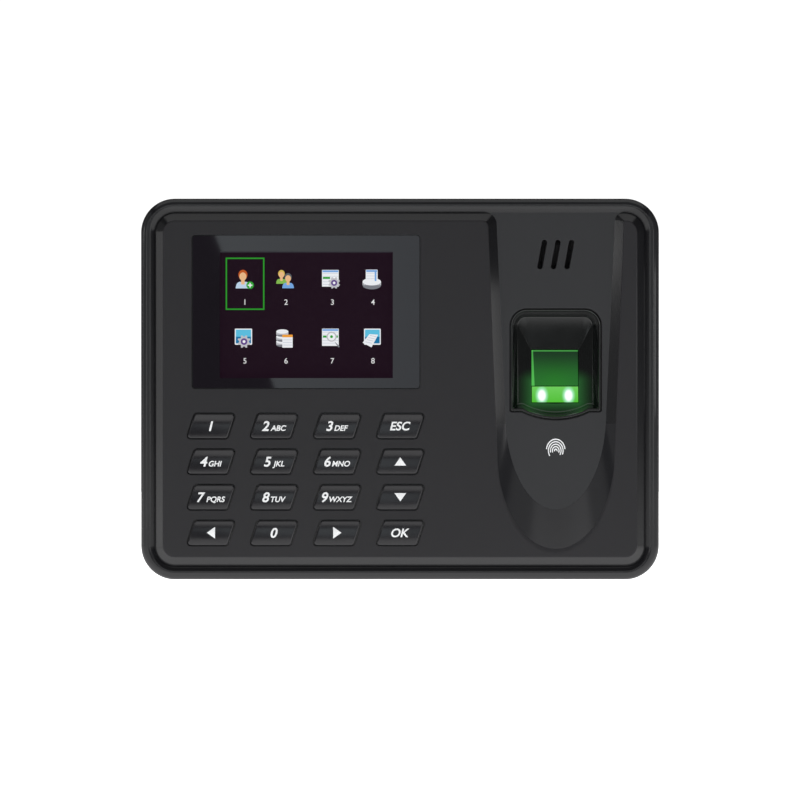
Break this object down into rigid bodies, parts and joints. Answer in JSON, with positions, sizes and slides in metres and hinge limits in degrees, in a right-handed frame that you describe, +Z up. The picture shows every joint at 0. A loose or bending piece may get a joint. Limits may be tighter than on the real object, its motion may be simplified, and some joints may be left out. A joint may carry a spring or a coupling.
{
  "type": "fingerprint scanner terminal",
  "caption": "Wall-hung fingerprint terminal: rounded black case with a colour display and slanted keys at the left, and an optical finger sensor and speaker slots in a sunken channel.",
  "frame": {"origin": "centre of the wall plate's rear face, on the wall plane, level with the middle of the casing", "axes": "+X to the right of someone facing the terminal, +Y into the wall, +Z up; the front faces -Y"},
  "size_m": [0.18, 0.0369, 0.1324],
  "materials": {
    "case_plastic": "fine moulded texture, satin black",
    "key_plastic": "gloss black",
    "bezel_gloss": "piano black",
    "window_glass": "smoked, polished",
    "screen_glass": "lit display",
    "prism_glass": "polished optical glass, lit green",
    "light_glass": "moulded light guide, lit green",
    "led_lens": "clear lens, lit",
    "silicone": "soft, matt",
    "board_laminate": "green solder mask",
    "chip_black": "moulded resin",
    "white_plastic": "moulded nylon",
    "ribbon_film": "amber polyimide film",
    "plate_steel": "zinc plated sheet",
    "screw_steel": "plated",
    "tin_plate": "tin plated",
    "cone_paper": "pressed fibre",
    "gasket_foam": "closed-cell foam",
    "wire_sleeve": "insulated twin wire"
  },
  "bodies": {
    "case": {"front_cover": "case_plastic", "rear_cover": "case_plastic", "wall_plate": "plate_steel", "lock_screw": "screw_steel", "cover_screw_1": "screw_steel", "cover_screw_2": "screw_steel", "cover_screw_3": "screw_steel", "cover_screw_4": "screw_steel", "board_screw_1": "screw_steel", "board_screw_2": "screw_steel", "board_screw_3": "screw_steel", "board_screw_4": "screw_steel", "sensor_screw_1": "screw_steel", "sensor_screw_2": "screw_steel", "display_window": "window_glass", "lcd_panel": "screen_glass", "lcd_frame": "tin_plate", "lcd_ribbon": "ribbon_film", "lcd_connector": "white_plastic", "keypad_mat": "silicone", "main_board": "board_laminate", "processor": "chip_black", "coin_cell": "tin_plate", "coin_cell_holder": "chip_black", "usb_socket": "tin_plate", "power_jack": "chip_black", "reset_switch": "chip_black", "sensor_bezel": "bezel_gloss", "sensor_prism": "prism_glass", "light_bar": "light_glass", "led_left": "led_lens", "led_right": "led_lens", "sensor_chassis": "chip_black", "sensor_camera": "chip_black", "sensor_board": "board_laminate", "sensor_ribbon": "ribbon_film", "sensor_connector": "white_plastic", "speaker_gasket": "gasket_foam", "speaker_frame": "tin_plate", "speaker_cone": "cone_paper", "speaker_magnet": "tin_plate", "speaker_wire": "wire_sleeve"},
    "key_0": {"key_0": "key_plastic"},
    "key_1": {"key_1": "key_plastic"},
    "key_2": {"key_2": "key_plastic"},
    "key_3": {"key_3": "key_plastic"},
    "key_4": {"key_4": "key_plastic"},
    "key_5": {"key_5": "key_plastic"},
    "key_6": {"key_6": "key_plastic"},
    "key_7": {"key_7": "key_plastic"},
    "key_8": {"key_8": "key_plastic"},
    "key_9": {"key_9": "key_plastic"},
    "key_escape": {"key_escape": "key_plastic"},
    "key_up": {"key_up": "key_plastic"},
    "key_down": {"key_down": "key_plastic"},
    "key_left": {"key_left": "key_plastic"},
    "key_right": {"key_right": "key_plastic"},
    "key_enter": {"key_enter": "key_plastic"},
    "reset_plunger": {"reset_plunger": "white_plastic"}
  },
  "joints": [
    {"name": "key_0_press", "type": "slide", "parent": "case", "child": "key_0", "axis": [0, 1, 0], "range_m": [0, 0.0007], "stiffness_N_per_m": 1500},
    {"name": "key_1_press", "type": "slide", "parent": "case", "child": "key_1", "axis": [0, 1, 0], "range_m": [0, 0.0007], "stiffness_N_per_m": 1500},
    {"name": "key_2_press", "type": "slide", "parent": "case", "child": "key_2", "axis": [0, 1, 0], "range_m": [0, 0.0007], "stiffness_N_per_m": 1500},
    {"name": "key_3_press", "type": "slide", "parent": "case", "child": "key_3", "axis": [0, 1, 0], "range_m": [0, 0.0007], "stiffness_N_per_m": 1500},
    {"name": "key_4_press", "type": "slide", "parent": "case", "child": "key_4", "axis": [0, 1, 0], "range_m": [0, 0.0007], "stiffness_N_per_m": 1500},
    {"name": "key_5_press", "type": "slide", "parent": "case", "child": "key_5", "axis": [0, 1, 0], "range_m": [0, 0.0007], "stiffness_N_per_m": 1500},
    {"name": "key_6_press", "type": "slide", "parent": "case", "child": "key_6", "axis": [0, 1, 0], "range_m": [0, 0.0007], "stiffness_N_per_m": 1500},
    {"name": "key_7_press", "type": "slide", "parent": "case", "child": "key_7", "axis": [0, 1, 0], "range_m": [0, 0.0007], "stiffness_N_per_m": 1500},
    {"name": "key_8_press", "type": "slide", "parent": "case", "child": "key_8", "axis": [0, 1, 0], "range_m": [0, 0.0007], "stiffness_N_per_m": 1500},
    {"name": "key_9_press", "type": "slide", "parent": "case", "child": "key_9", "axis": [0, 1, 0], "range_m": [0, 0.0007], "stiffness_N_per_m": 1500},
    {"name": "key_escape_press", "type": "slide", "parent": "case", "child": "key_escape", "axis": [0, 1, 0], "range_m": [0, 0.0007], "stiffness_N_per_m": 1500},
    {"name": "key_up_press", "type": "slide", "parent": "case", "child": "key_up", "axis": [0, 1, 0], "range_m": [0, 0.0007], "stiffness_N_per_m": 1500},
    {"name": "key_down_press", "type": "slide", "parent": "case", "child": "key_down", "axis": [0, 1, 0], "range_m": [0, 0.0007], "stiffness_N_per_m": 1500},
    {"name": "key_left_press", "type": "slide", "parent": "case", "child": "key_left", "axis": [0, 1, 0], "range_m": [0, 0.0007], "stiffness_N_per_m": 1500},
    {"name": "key_right_press", "type": "slide", "parent": "case", "child": "key_right", "axis": [0, 1, 0], "range_m": [0, 0.0007], "stiffness_N_per_m": 1500},
    {"name": "key_enter_press", "type": "slide", "parent": "case", "child": "key_enter", "axis": [0, 1, 0], "range_m": [0, 0.0007], "stiffness_N_per_m": 1500},
    {"name": "reset_press", "type": "slide", "parent": "case", "child": "reset_plunger", "axis": [0, 0, 1], "range_m": [0, 0.0003], "stiffness_N_per_m": 1000}
  ]
}
